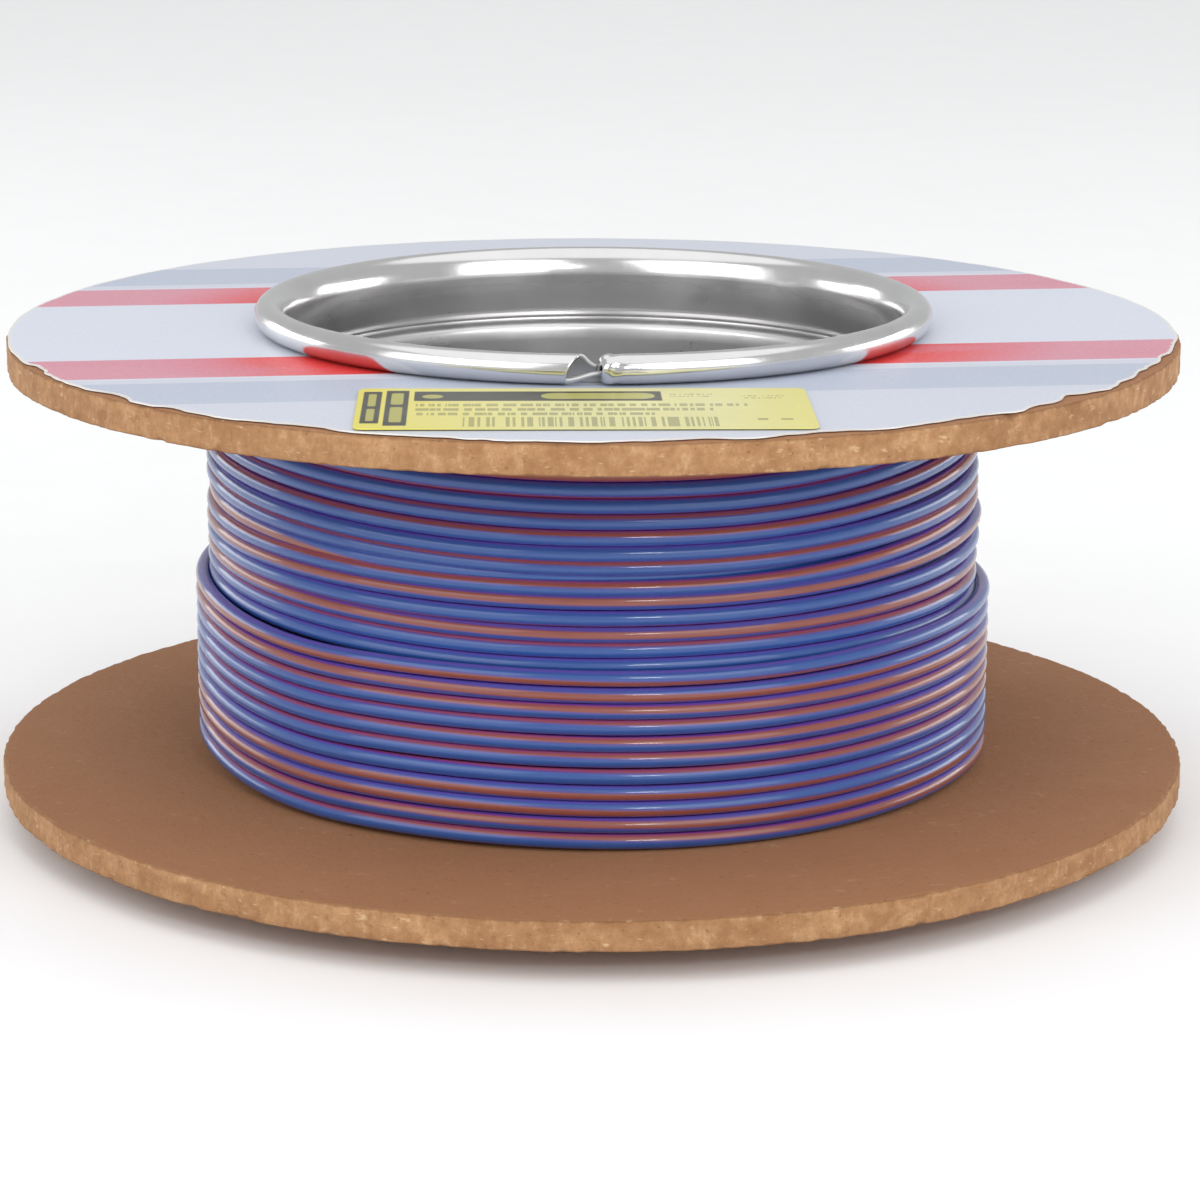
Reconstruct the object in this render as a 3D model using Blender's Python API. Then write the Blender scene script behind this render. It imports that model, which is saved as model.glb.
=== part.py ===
"""Spool of electrical wire standing on its end: two fibreboard discs on a curled sheet steel tube.

Metres, +Z up along the spool's axis, origin on the floor under the middle of the spool.
"""
import math

import bmesh
import bpy
from mathutils import Matrix, Vector

# Steel tube
TUBE_RADIUS = 0.078
SHEET_WALL = 0.0008
CURL_HEIGHT = 0.0072
CURL_CENTRE_OFFSET = 0.004
CURL_STEP_ANGLE = math.radians(36)
CURL_CORNERS = 10
RIDGE_HEIGHT = 0.006
RIDGE_PROUD = 0.0026
RIDGE_CREST_SHARE = 0.4
SEAM_GAP_WIDTH = 0.008
SEAM_TURN = math.radians(-1.7)

# Fibreboard discs
TOP_DISC_RADIUS = 0.1475
BOTTOM_DISC_RADIUS = 0.1515
DISC_THICKNESS = 0.0075
DISC_EDGE_CHAMFER = 0.0006
TRAVERSE = 0.100

# Printed paper on the upper disc, and its label
PAPER_THICKNESS = 0.0003
PAPER_INSET = 0.0004
LABEL_THICKNESS = 0.0003
LABEL_WIDTH = 0.103
LABEL_DEPTH = 0.047
LABEL_CORNER_RADIUS = 0.001
LABEL_CENTRE_X = -0.002
LABEL_CLEARANCE = 0.003
LABEL_TURN = math.radians(1.4)

# Winding
WIRE_DIAMETER = 0.0038
LAYER_STEP_SHARE = math.sqrt(3) / 2
FULL_LAYERS = 6
EXTRA_LAYER_TURNS = 12
CREST_SHARE = 0.4
VALLEY_SHARE = 0.25

# Play between pieces that rest on or in each other
SEAT_GAP = 0.0003

# Flats around a circle
TUBE_SIDES = 36
DISC_SIDES = 60
COIL_SIDES = 32
SMOOTH_ANGLE = math.radians(30)

# Heights that follow
curl_radius = CURL_HEIGHT / 2
lower_disc_base = CURL_HEIGHT + SEAT_GAP
lower_disc_top = lower_disc_base + DISC_THICKNESS
upper_disc_base = lower_disc_top + TRAVERSE
upper_disc_top = upper_disc_base + DISC_THICKNESS
paper_base = upper_disc_top + SEAT_GAP
paper_top = paper_base + PAPER_THICKNESS
upper_curl_base = paper_top + SEAT_GAP
spool_height = upper_curl_base + CURL_HEIGHT

# Radii that follow
tube_inner_radius = TUBE_RADIUS - SHEET_WALL
curl_centre_radius = TUBE_RADIUS + CURL_CENTRE_OFFSET
curl_outer_radius = curl_centre_radius + curl_radius
paper_radius = TOP_DISC_RADIUS - PAPER_INSET


def clear_scene():
    """Remove every object of the open scene."""
    for scene_object in list(bpy.data.objects):
        bpy.data.objects.remove(scene_object, do_unlink=True)


def make_material(name, colour, roughness, metallic=0.0):
    """Return a plain material with the given finish."""
    material = bpy.data.materials.new(name)
    material.use_nodes = True
    shader = material.node_tree.nodes["Principled BSDF"]
    shader.inputs["Base Color"].default_value = (*colour, 1.0)
    shader.inputs["Roughness"].default_value = roughness
    shader.inputs["Metallic"].default_value = metallic
    return material


def add_object(name, mesh, material):
    """Link a mesh into the scene as a named object, smooth where it is round."""
    mesh.materials.append(material)
    mesh.shade_smooth()
    mesh.set_sharp_from_angle(angle=SMOOTH_ANGLE)
    new_object = bpy.data.objects.new(name, mesh)
    bpy.context.scene.collection.objects.link(new_object)
    return new_object


def around(radius, sides):
    """Corner radius of a polygon whose flats lie at the given radius."""
    return radius / math.cos(math.pi / sides)


def turn_profile(name, profile, sides):
    """Turn a closed outline of (radius, height) points about Z into one solid."""
    mesh = bpy.data.meshes.new(name)
    shape = bmesh.new()
    corners = [shape.verts.new((radius, 0.0, height)) for radius, height in profile]
    outline = [shape.edges.new((corner, corners[place - 1])) for place, corner in enumerate(corners)]
    bmesh.ops.spin(
        shape,
        geom=corners + outline,
        cent=(0.0, 0.0, 0.0),
        axis=(0.0, 0.0, 1.0),
        angle=math.tau,
        steps=sides,
        use_merge=True,
    )
    bmesh.ops.recalc_face_normals(shape, faces=shape.faces)
    shape.to_mesh(mesh)
    shape.free()
    return mesh


def curl_path(section_radius, centre_height, upward):
    """Points of one side of the rolled sheet, from the tube over the crown to the tip."""
    corner_radius = section_radius / math.cos(CURL_STEP_ANGLE / 2)
    points = []
    for corner in range(CURL_CORNERS):
        angle = math.pi - corner * CURL_STEP_ANGLE
        radius = curl_centre_radius + corner_radius * math.cos(angle)
        height = centre_height + upward * corner_radius * math.sin(angle)
        points.append((radius, height))
    return points


def ridge_path(wall_radius, middle_height):
    """Points of one side of a locating ridge pressed out of the tube, from below upwards."""
    half_height = RIDGE_HEIGHT / 2
    half_crest = half_height * RIDGE_CREST_SHARE
    return [
        (wall_radius, middle_height - half_height),
        (wall_radius + RIDGE_PROUD, middle_height - half_crest),
        (wall_radius + RIDGE_PROUD, middle_height + half_crest),
        (wall_radius, middle_height + half_height),
    ]


def tube_side(wall_radius, section_radius):
    """One whole side of the sheet, from the tip of the lower curl to the tip of the upper curl."""
    lower_ridge_middle = lower_disc_top + SEAT_GAP + RIDGE_HEIGHT / 2
    upper_ridge_middle = upper_disc_base - SEAT_GAP - RIDGE_HEIGHT / 2
    side = list(reversed(curl_path(section_radius, curl_radius, -1)))
    side.append((wall_radius, lower_disc_base))
    side += ridge_path(wall_radius, lower_ridge_middle)
    side += ridge_path(wall_radius, upper_ridge_middle)
    side.append((wall_radius, paper_top))
    side += curl_path(section_radius, upper_curl_base + curl_radius, 1)
    return side


def cut_seam_gap(tube, base, name):
    """Take out the short length of curl where the two edges of the sheet meet."""
    bpy.ops.mesh.primitive_cube_add(size=1.0)
    cutter = bpy.context.object
    cutter.name = name
    depth = curl_outer_radius - tube_inner_radius
    reach = 2 * depth
    middle_radius = (curl_outer_radius + tube_inner_radius) / 2
    size = Matrix.Diagonal((SEAM_GAP_WIDTH, reach, CURL_HEIGHT + SEAT_GAP, 1.0))
    place = Matrix.Translation(Vector((0.0, -middle_radius, base + (CURL_HEIGHT + SEAT_GAP) / 2)))
    cutter.data.transform(Matrix.Rotation(SEAM_TURN, 4, "Z") @ place @ size)
    cutter.hide_render = True
    cutter.display_type = "WIRE"
    cut = tube.modifiers.new(name, "BOOLEAN")
    cut.operation = "DIFFERENCE"
    cut.object = cutter


def make_hub_tube():
    """Sheet steel tube, both ends rolled outward over the discs."""
    bore_side = tube_side(tube_inner_radius, curl_radius)
    winding_side = tube_side(TUBE_RADIUS, curl_radius - SHEET_WALL)
    profile = bore_side + list(reversed(winding_side))
    steel = make_material("steel", (0.62, 0.63, 0.64), 0.18, 1.0)
    tube = add_object("hub_tube", turn_profile("hub_tube", profile, TUBE_SIDES), steel)
    cut_seam_gap(tube, upper_curl_base - SEAT_GAP / 2, "upper_seam_cutter")
    cut_seam_gap(tube, -SEAT_GAP / 2, "lower_seam_cutter")
    return tube


def make_disc(name, radius, base, material):
    """Fibreboard disc with a hole for the tube and slightly broken outer edges."""
    hole_radius = around(TUBE_RADIUS + SEAT_GAP, DISC_SIDES)
    top = base + DISC_THICKNESS
    profile = [
        (hole_radius, base),
        (radius - DISC_EDGE_CHAMFER, base),
        (radius, base + DISC_EDGE_CHAMFER),
        (radius, top - DISC_EDGE_CHAMFER),
        (radius - DISC_EDGE_CHAMFER, top),
        (hole_radius, top),
    ]
    return add_object(name, turn_profile(name, profile, DISC_SIDES), material)


def make_paper():
    """Printed paper facing on the upper disc."""
    hole_radius = around(TUBE_RADIUS + SEAT_GAP, DISC_SIDES)
    profile = [
        (hole_radius, paper_base),
        (paper_radius, paper_base),
        (paper_radius, paper_top),
        (hole_radius, paper_top),
    ]
    paper = make_material("paper", (0.86, 0.87, 0.90), 0.55)
    return add_object("flange_paper", turn_profile("flange_paper", profile, DISC_SIDES), paper)


def make_label():
    """Rectangular label stuck on the paper in front of the curl."""
    centre_y = -(curl_outer_radius + LABEL_CLEARANCE + LABEL_DEPTH / 2)
    bpy.ops.mesh.primitive_cube_add(size=1.0)
    label = bpy.context.object
    label.name = "paper_label"
    label.data.name = "paper_label"
    label.data.transform(Matrix.Diagonal((LABEL_WIDTH, LABEL_DEPTH, LABEL_THICKNESS, 1.0)))
    label.data.materials.append(make_material("label", (0.84, 0.76, 0.20), 0.4))
    rounding = label.modifiers.new("rounded corners", "BEVEL")
    rounding.width = LABEL_CORNER_RADIUS
    rounding.segments = 2
    rounding.limit_method = "WEIGHT"
    weights = label.data.attributes.new("bevel_weight_edge", "FLOAT", "EDGE")
    for edge in label.data.edges:
        first, second = (label.data.vertices[place].co for place in edge.vertices)
        weights.data[edge.index].value = 1.0 if abs(first.z - second.z) > LABEL_THICKNESS / 2 else 0.0
    label.location = (LABEL_CENTRE_X, centre_y, paper_top + SEAT_GAP + LABEL_THICKNESS / 2)
    label.rotation_euler = (0.0, 0.0, LABEL_TURN)
    return label


def winding_profile():
    """Outline of the wound wire: rows of turns outside, rings of turns on both ends."""
    layer_step = WIRE_DIAMETER * LAYER_STEP_SHARE
    base = lower_disc_top + SEAT_GAP
    top = upper_disc_base - SEAT_GAP
    turns = int((top - base) / WIRE_DIAMETER)
    pitch = (top - base) / turns
    full_radius = TUBE_RADIUS + SEAT_GAP + WIRE_DIAMETER + (FULL_LAYERS - 1) * layer_step
    extra_radius = full_radius + layer_step
    valley = WIRE_DIAMETER * VALLEY_SHARE
    bore_radius = around(TUBE_RADIUS + SEAT_GAP, COIL_SIDES)
    ridge_bore_radius = around(TUBE_RADIUS + RIDGE_PROUD + SEAT_GAP, COIL_SIDES)
    ridge_room = RIDGE_HEIGHT + SEAT_GAP

    def ring_profile(outer_radius, end_height, inward):
        """Rings of the turns that show on one end, from the bore outwards."""
        rings = int((outer_radius - ridge_bore_radius) / layer_step)
        points = [(ridge_bore_radius, end_height)]
        for ring in reversed(range(rings)):
            crest_radius = outer_radius - (ring + 0.5) * layer_step
            points.append((crest_radius - layer_step / 2, end_height + inward * valley))
            points.append((crest_radius, end_height))
        return points

    profile = ring_profile(extra_radius, base, 1)
    for turn in range(turns):
        crest_radius = extra_radius if turn < EXTRA_LAYER_TURNS else full_radius
        start = base + turn * pitch
        profile.append((crest_radius - valley, start))
        profile.append((crest_radius, start + pitch * (1 - CREST_SHARE) / 2))
        profile.append((crest_radius, start + pitch * (1 + CREST_SHARE) / 2))
    profile.append((full_radius - valley, top))
    profile += reversed(ring_profile(full_radius, top, -1))
    profile.append((ridge_bore_radius, top - ridge_room))
    profile.append((bore_radius, top - ridge_room))
    profile.append((bore_radius, base + ridge_room))
    profile.append((ridge_bore_radius, base + ridge_room))
    return profile


def make_wire_coil():
    """All turns of the insulated wire as one turned body with its bore."""
    insulation = make_material("insulation", (0.10, 0.16, 0.42), 0.35)
    return add_object("wire_coil", turn_profile("wire_coil", winding_profile(), COIL_SIDES), insulation)


def main():
    """Build the spool."""
    clear_scene()
    board = make_material("fibreboard", (0.47, 0.32, 0.18), 0.8)
    make_hub_tube()
    make_disc("bottom_flange", BOTTOM_DISC_RADIUS, lower_disc_base, board)
    make_disc("top_flange", TOP_DISC_RADIUS, upper_disc_base, board)
    make_paper()
    make_label()
    make_wire_coil()


main()
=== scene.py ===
"""Looks of the spool of electrical wire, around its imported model.

Metres, +Z up. Azimuth 0 is +X (the right of the spool), and the label lies on the -Y side, in front.
"""

import math

import bpy
import numpy as np
from mathutils import Matrix, Quaternion, Vector


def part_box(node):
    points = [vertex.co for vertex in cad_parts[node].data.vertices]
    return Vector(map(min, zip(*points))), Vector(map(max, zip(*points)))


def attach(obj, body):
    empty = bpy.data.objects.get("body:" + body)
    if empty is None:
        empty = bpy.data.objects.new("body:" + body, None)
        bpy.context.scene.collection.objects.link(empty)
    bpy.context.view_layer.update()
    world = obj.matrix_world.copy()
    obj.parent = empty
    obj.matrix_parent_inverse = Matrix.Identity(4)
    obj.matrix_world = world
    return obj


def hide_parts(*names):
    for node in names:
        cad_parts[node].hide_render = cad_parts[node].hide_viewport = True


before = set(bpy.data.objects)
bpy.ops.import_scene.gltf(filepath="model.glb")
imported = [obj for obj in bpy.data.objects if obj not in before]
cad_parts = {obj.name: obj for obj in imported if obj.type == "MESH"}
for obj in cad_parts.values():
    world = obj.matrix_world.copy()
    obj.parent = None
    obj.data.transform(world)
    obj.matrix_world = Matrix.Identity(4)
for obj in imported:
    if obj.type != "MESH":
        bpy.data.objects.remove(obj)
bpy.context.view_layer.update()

MM = 0.001
BODY = "root"
FRONT = math.radians(-90)
SHARP_ANGLE = math.radians(50)

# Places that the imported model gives
tube_low, tube_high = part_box("hub_tube")
lower_board_low, lower_board_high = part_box("bottom_flange")
upper_board_low, upper_board_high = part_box("top_flange")
paper_low, paper_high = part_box("flange_paper")
label_low, label_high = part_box("paper_label")
coil_low, coil_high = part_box("wire_coil")

# Steel tube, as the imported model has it
SHEET_WALL = 0.8 * MM
TUBE_RADIUS = 78.0 * MM
CURL_HEIGHT = 7.2 * MM
CURL_CENTRE_OFFSET = 4.0 * MM
CROWN_CLEARANCE = 0.03 * MM
RIDGE_HEIGHT = 6.0 * MM
RIDGE_PROUD = 2.6 * MM
SEAM_AZIMUTH = math.radians(-91.7)
SEAM_GAP_WIDTH = 8.0 * MM
SEAT_GAP = 0.3 * MM

# Mesh of the tube: its steps along the sheet and around the spool, finer by both ends of a curl.
# The polish of the curls begins and is full at two distances from their crowns.
FLARE_STEPS = 9
ROLL_STEPS = 22
ROLL_TURN = math.radians(236)
RIDGE_STEPS = 14
WALL_STEPS = 4
GAP_STEPS = 14
NOSE_MESH = (9 * MM, 24)
OPEN_END_MESH = (7 * MM, 14)
ROUND_STEPS = 229
POLISH_REACH = (11 * MM, 5 * MM)

# Seam of a curl: a crushed and folded nose on the right, a torn tongue, and an open leaning left end
CRUSH_LENGTH = 2.6 * MM
CRUSH_LEFT_OVER = 0.42
CRUSH_ANCHOR_INSET = 1.6 * MM
CRUSH_ONSET = 0.3
FOLD_DEPTH = 0.28 * MM
FOLD_REACH = 6.0 * MM
FOLD_RUN = 0.85 * MM
FOLD_TWIST = 24
LEAN = 5.0 * MM
LEAN_REACH = 6.0 * MM
TONGUE_TAPER = 0.62
TONGUE_TIP_STEPS = 3
STRIP_STEPS = (12, 16)
TORN_DULLNESS = 0.5

# Wire: a turn steps up, climbs from beneath and changes its stripe over shares of a turn, the
# waves are those around each turn, and a stripe that isn't given scatters by degrees
WINDING_SEED = 7
WIRE_RADIUS = 1.9 * MM
TURNS_PER_LAYER = 26
TURNS_LOST_TO_RIDGES = 4
FULL_LAYERS = 6
LAYER_STEP = math.sqrt(3) * WIRE_RADIUS
STEP_SHARE = 0.13
CLIMB_SHARE = 0.12
WAVES = 4
WAVE_START = math.radians(100)
STRIPE_SCATTER = 60
STRIPE_LEAVE = 0.21
STRIPE_CHANGE = 0.5
SHOWN_STEPS = 120
SHOWN_SIDES = 16
HIDDEN_STEPS = 40
HIDDEN_SIDES = 6

# Sixth layer, whose turns show above the ledge: heights are those at the front, rises in millimetres
# and stripes in degrees, and the sunk turn draws its neighbours in by a share of the pitch
SIXTH_LAYER_START = math.radians(110)
SIXTH_LAYER_TOP = 105.15 * MM
SUNK_TURN = 7
SUNK_DEPTH = 1.7 * MM
SUNK_DRAW = 0.13
RISE_LEFT_REACH = math.radians(110)
RISE_RIGHT_START = math.radians(15)
RISE_RIGHT_REACH = math.radians(95)
RISE_FADE = math.radians(30)
SIXTH_LAYER_RISE_LEFT = (7, 7, 7, 7, 6.5, 7, 6.5, 4.5, 3, 2.2, 3, 3.8, 4.2, 4.2, 0)
SIXTH_LAYER_RISE_RIGHT = (7.6, 8.5, 8.8, 7.6, 6, 4, 3.6, 4, 5.2, 2.8, 1.2, -0.4, -1.4, -2, 0)
SIXTH_LAYER_WAVE = 0.12 * MM
SIXTH_LAYER_STRIPES = (-40, -72, 100, 67, 52, -100, 60, -85, 45, 13, -80, 13, 75, -110)
SIXTH_LAYER_STRIPE_LEAN = 14

# Outermost layer, below the ledge, with its stripes in degrees
OUTER_START = math.radians(186)
OUTER_PITCH = 3.95 * MM
OUTER_TURNS = 11.3
OUTER_STRIPES = (52, 20, -17, -17, 72, 50, 43, 62, 31, -5, -36, -60)
OUTER_STRIPE_LEAN = 40
OUTER_WAVE = 0.4 * MM

# Edge of a board: an arris reaches onto the face, down the side and to its middle by shares of its
# wear, and a nick takes the noise up to a limit
LOWER_BOARD_SEED = 3
UPPER_BOARD_SEED = 5
BOARD_COLUMNS = 720
BOARD_INSET = 0.28 * MM
ARRIS = 0.35 * MM
ARRIS_FRAY = 0.2 * MM
ARRIS_ON_FACE = 1.6
ARRIS_DOWN_SIDE = 1.2
ARRIS_MIDDLE = (0.45, 0.3)
NICK_LIMIT = 1.2
SIDE_HOLLOW = 0.05 * MM
SIDE_WAVE = 0.056 * MM
SIDE_RING_SHARE = 0.18

# Print of the paper facing: its bands by their distance from the middle line of the print
PRINT_TURN = math.radians(7.4)
PRINT_MIDDLE = 3.5 * MM
PRINT_SOFTNESS = 0.35 * MM
RED_BAND = (39.5 * MM, 64.5 * MM)
GREY_BAND = (71 * MM, 97 * MM)
PALE_FIELD = (66 * MM, 200 * MM)
RED_WEAR = (84 * MM, 124 * MM)

# Edge of the paper facing, torn in front: azimuth and spread in degrees, depth in millimetres
PAPER_SEED = 11
PAPER_COLUMNS = 900
PAPER_RIM = 1.2 * MM
TORN_FIBRES = 0.7 * MM
TRIM_WEAR = 0.15 * MM
DEEPEST_TEAR = 5 * MM
PAPER_WEAR = (
    (-96, 80, 0.7),
    (-48, 40, 0.5),
)
PAPER_BITES = (
    (-12, 8, 1.0),
    (-19, 5, 2.2),
    (-28, 8, 1.2),
    (-38.5, 4, 2.4),
    (-44, 6, 1.6),
    (-51, 8, 1.2),
    (-61, 9, 0.7),
    (-155, 3, 1.2),
    (-139, 3, 1.1),
    (-131, 2.5, 1.0),
)

# Label
LABEL_WIDTH = 103 * MM
LABEL_DEPTH = 47 * MM
LABEL_TURN = math.radians(1.4)
LABEL_CORNER = 2.4 * MM
CORNER_STEPS = 6

# Stage: the soft lights by name, place, size and power, and the camera that fits the photograph
FLOOR_SIZE = 12.0
LIGHT_TARGET = (0.0, 0.0, 0.1)
SOFTBOXES = (
    ("right_softbox", (0.80, -1.10, 0.73), (1.0, 1.1), 6.4),
    ("left_softbox", (-0.98, -0.94, 0.73), (1.4, 1.1), 8.2),
    ("right_rear_softbox", (1.51, 0.60, 0.34), (1.1, 0.5), 5.8),
    ("left_rear_softbox", (-1.40, 0.82, 0.34), (1.1, 0.5), 4.8),
    ("flash", (0.26, -0.98, 0.5), (0.16, 0.1), 1.4),
)
OVERHEAD_SPREAD = math.radians(80)
OVERHEAD_STRENGTH = 0.8
SURROUND_STRENGTH = 0.6
CAMERA_PLACE = (0.0, -0.98449, 0.29399)
CAMERA_DIRECTION = (0.00188, 0.97095, -0.23926)
CAMERA_ROLL = math.radians(-0.2)
CAMERA_LENS = 118.04
SENSOR_WIDTH = 36.0

wall_middle_radius = TUBE_RADIUS - SHEET_WALL / 2
curl_centre_radius = TUBE_RADIUS + CURL_CENTRE_OFFSET
curl_middle_radius = (CURL_HEIGHT - SHEET_WALL) / 2 - CROWN_CLEARANCE
hole_radius = TUBE_RADIUS + SEAT_GAP


# Number helpers

def srgb(red, green, blue):
    """Linear colour of an 8-bit screen colour."""
    def channel(value):
        share = value / 255
        return share / 12.92 if share <= 0.04045 else ((share + 0.055) / 1.055) ** 2.4
    return (channel(red), channel(green), channel(blue), 1.0)


def smooth(value):
    """Smooth step from 0 to 1 of a value or an array."""
    share = np.clip(value, 0.0, 1.0)
    return share * share * (3 - 2 * share)


def blurred(raw, run):
    """Noise around a closed edge, smoothed over a run of columns and of the same size as before."""
    kernel = np.hanning(run + 2)[1:-1]
    kernel /= np.sqrt((kernel ** 2).sum())
    looped = np.concatenate([raw[-run:], raw, raw[:run]])
    return np.convolve(looped, kernel, "same")[run:-run]


# Node helpers

class Nodes:
    """A material's node tree, with short calls for what the materials here need."""

    def __init__(self, name):
        self.material = bpy.data.materials.new(name)
        self.material.use_nodes = True
        self.tree = self.material.node_tree
        self.shader = self.tree.nodes["Principled BSDF"]

    def add(self, kind, **settings):
        """New node with its properties set."""
        node = self.tree.nodes.new(kind)
        for key, value in settings.items():
            setattr(node, key, value)
        return node

    def put(self, socket, value):
        """Feed a socket from another socket or a plain value."""
        if isinstance(value, bpy.types.NodeSocket):
            self.tree.links.new(value, socket)
        else:
            socket.default_value = value

    def math(self, operation, first, second=None, third=None, clamp=False):
        """Result of a math node."""
        node = self.add("ShaderNodeMath", operation=operation, use_clamp=clamp)
        for place, value in enumerate((first, second, third)):
            if value is not None:
                self.put(node.inputs[place], value)
        return node.outputs[0]

    def mix(self, factor, first, second):
        """Colour mixed from two."""
        node = self.add("ShaderNodeMix", data_type="RGBA")
        self.put(node.inputs["Factor"], factor)
        self.put(node.inputs["A"], first)
        self.put(node.inputs["B"], second)
        return node.outputs["Result"]

    def remap(self, value, low, high, new_low=0.0, new_high=1.0, smooth_ends=False):
        """Value mapped from one range to another, held at both ends."""
        node = self.add("ShaderNodeMapRange")
        node.interpolation_type = "SMOOTHSTEP" if smooth_ends else "LINEAR"
        self.put(node.inputs["Value"], value)
        for socket, number in zip(node.inputs[1:5], (low, high, new_low, new_high)):
            self.put(socket, number)
        return node.outputs[0]

    def place(self):
        """Place of the point being shaded, on the spool."""
        return self.add("ShaderNodeTexCoord").outputs["Object"]

    def uv(self, layer):
        """A named UV layer as a vector."""
        return self.add("ShaderNodeUVMap", uv_map=layer).outputs["UV"]

    def split(self, vector):
        """The three numbers of a vector."""
        return self.add_linked("ShaderNodeSeparateXYZ", vector).outputs

    def turned(self, x, y, y_share, x_share):
        """Sum of two lengths with a share of each."""
        scaled = self.math("MULTIPLY", y, y_share)
        return self.math("MULTIPLY_ADD", x, x_share, scaled)

    def length(self, x, y):
        """Length of a flat vector."""
        return self.math("SQRT", self.math("MULTIPLY_ADD", x, x, self.math("MULTIPLY", y, y)))

    def join(self, x, y, z=0.0):
        """A vector from three numbers."""
        node = self.add("ShaderNodeCombineXYZ")
        for socket, value in zip(node.inputs, (x, y, z)):
            self.put(socket, value)
        return node.outputs[0]

    def add_linked(self, kind, value):
        """New node whose first input is fed."""
        node = self.add(kind)
        self.put(node.inputs[0], value)
        return node

    def stretch(self, vector, scale):
        """Vector scaled along each axis."""
        node = self.add_linked("ShaderNodeMapping", vector)
        node.inputs["Scale"].default_value = scale
        return node.outputs[0]

    def noise(self, vector, scale, detail=3.0, roughness=0.5):
        """Grey noise between 0 and 1."""
        node = self.add("ShaderNodeTexNoise")
        self.put(node.inputs["Vector"], vector)
        node.inputs["Scale"].default_value = scale
        node.inputs["Detail"].default_value = detail
        node.inputs["Roughness"].default_value = roughness
        return node.outputs["Fac"]

    def bump(self, height, strength, distance):
        """Surface normal from a height."""
        node = self.add("ShaderNodeBump")
        node.inputs["Strength"].default_value = strength
        node.inputs["Distance"].default_value = distance
        self.put(node.inputs["Height"], height)
        return node.outputs[0]

    def finish(self, **inputs):
        """Feed the shader's inputs by name, with _ for spaces."""
        for key, value in inputs.items():
            self.put(self.shader.inputs[key.replace("_", " ")], value)
        return self.material


# Mesh helpers

def new_piece(name, verts, faces, materials, replaced, uv_layers=None, face_materials=None):
    """A mesh piece that rides on the spool and stands for the nodes it replaces."""
    mesh = bpy.data.meshes.new(name)
    mesh.from_pydata([tuple(vert) for vert in verts], [], [tuple(face) for face in faces])
    for material in materials:
        mesh.materials.append(material)
    for layer_name, corner_values in (uv_layers or {}).items():
        layer = mesh.uv_layers.new(name=layer_name)
        layer.data.foreach_set("uv", np.asarray(corner_values, dtype=np.float32).ravel())
    if face_materials is not None:
        mesh.polygons.foreach_set("material_index", face_materials)
    mesh.shade_smooth()
    piece = bpy.data.objects.new(name, mesh)
    bpy.context.scene.collection.objects.link(piece)
    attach(piece, BODY)
    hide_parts(*replaced)
    return piece


def grid_faces(rows, columns, close_rows=False, close_columns=False):
    """Quads of a grid whose vertices run column after column, rows within each."""
    faces = []
    for column in range(columns if close_columns else columns - 1):
        here = column * rows
        there = (column + 1) % columns * rows
        for row in range(rows if close_rows else rows - 1):
            above = (row + 1) % rows
            faces.append((here + row, there + row, there + above, here + above))
    return faces


# Wire

def insulation_material():
    """Blue insulation with a brown-orange stripe, and violet painted shade in the crevices between the
    turns.
    """
    nodes = Nodes("insulation")
    along, stripe_turn, _ = nodes.split(nodes.uv("stripe"))
    _, section_turn, _ = nodes.split(nodes.uv("section"))

    def drawn_out(per_metre, per_turn, detail, roughness=0.5):
        """Noise drawn out along the wire, with a number of lobes along it and around its section."""
        lengthwise = nodes.math("MULTIPLY", along, per_metre)
        around = nodes.math("MULTIPLY", section_turn, per_turn)
        return nodes.noise(nodes.join(lengthwise, around), 1.0, detail, roughness)

    drift = drawn_out(22.0, 0.0, 2.0)
    drifted = nodes.math("ADD", stripe_turn, nodes.remap(drift, 0.0, 1.0, -0.012, 0.012))
    facing = nodes.math("COSINE", nodes.math("MULTIPLY", drifted, math.tau))
    stripe = nodes.remap(facing, 0.83, 0.94, smooth_ends=True)
    rim = nodes.math("SUBTRACT", nodes.remap(facing, 0.62, 0.88, smooth_ends=True), stripe, clamp=True)
    outward = nodes.math("COSINE", nodes.math("MULTIPLY", section_turn, math.tau))
    # Violet painted shade in the crevices: the blue and the orange turn to violet tints where the section
    # faces its neighbours
    painted_crevice_shade = nodes.remap(outward, 0.84, 0.3, smooth_ends=True)
    streaks = drawn_out(60.0, 9.0, 4.0, 0.6)
    blue = nodes.mix(streaks, srgb(30, 70, 140), srgb(48, 86, 152))
    orange = nodes.mix(streaks, srgb(120, 60, 51), srgb(144, 80, 69))
    blue = nodes.mix(painted_crevice_shade, blue, srgb(98, 80, 172))
    orange = nodes.mix(painted_crevice_shade, orange, srgb(152, 72, 116))
    colour = nodes.mix(stripe, blue, orange)
    # The purple rim beside the stripe is weighted more where the painted crevice shade lies
    rim_weight = nodes.math("MULTIPLY", rim, nodes.remap(painted_crevice_shade, 0.0, 1.0, 0.3, 0.9))
    colour = nodes.mix(rim_weight, colour, srgb(120, 36, 132))
    scuffs = drawn_out(240.0, 14.0, 5.0, 0.6)
    return nodes.finish(
        Base_Color=colour,
        Roughness=nodes.remap(scuffs, 0.3, 0.8, 0.34, 0.5),
        Specular_IOR_Level=0.35,
        Coat_Weight=0.7,
        Coat_Roughness=0.11,
        Normal=nodes.bump(scuffs, 0.1, 0.0002),
    )


def copper_material():
    """Bright cut end of the conductor."""
    nodes = Nodes("copper")
    grain = nodes.noise(nodes.place(), 2600.0, 3.0)
    return nodes.finish(
        Base_Color=nodes.mix(grain, srgb(184, 96, 60), srgb(226, 146, 102)),
        Metallic=1.0,
        Roughness=nodes.remap(grain, 0.2, 0.8, 0.25, 0.5),
        Normal=nodes.bump(grain, 0.3, 0.0001),
    )


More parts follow.
